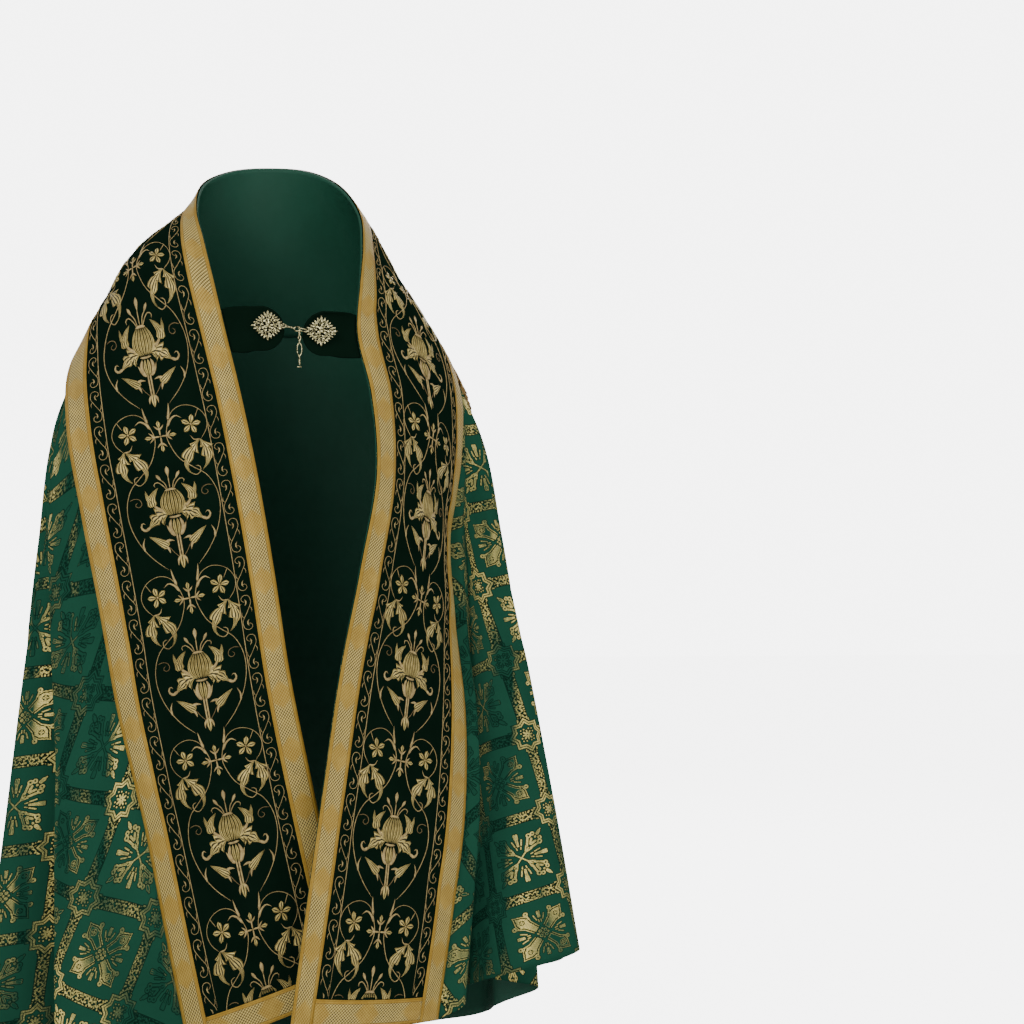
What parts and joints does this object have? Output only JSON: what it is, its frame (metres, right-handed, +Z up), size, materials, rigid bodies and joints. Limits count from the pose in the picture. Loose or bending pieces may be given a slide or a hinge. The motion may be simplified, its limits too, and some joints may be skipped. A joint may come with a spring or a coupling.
{
  "type": "cope vestment",
  "caption": "Long open liturgical cloak in green brocade with dark velvet front bands, gold braid, a fringed hood at the back and a clasp across the chest.",
  "frame": {"origin": "middle of the neck opening, at the height of the neck's base, where the wearer's shoulders hold the cope", "axes": "+Z up, front towards -Y, wearer's left towards +X"},
  "size_m": [0.9182, 0.5621, 1.3982],
  "materials": {
    "brocade": "woven satin ground with metallic thread",
    "lining": "satin",
    "velvet": "napped, matt",
    "braid": "woven metallic thread",
    "fringe": "twisted metallic thread",
    "gilt": "polished"
  },
  "bodies": {
    "root": {"cope_body": "brocade", "collar_lining": "lining", "orphrey_right": "velvet", "orphrey_left": "velvet", "braid_inner": "braid", "braid_outer": "braid", "braid_hem_right": "braid", "braid_hem_left": "braid", "braid_back": "braid", "hood": "velvet", "hood_braid": "braid", "hood_fringe": "fringe", "morse_tab_right": "velvet", "morse_tab_left": "velvet", "morse_clasp_right": "gilt", "morse_clasp_left": "gilt", "morse_hook": "gilt", "morse_chain": "gilt"}
  },
  "joints": []
}
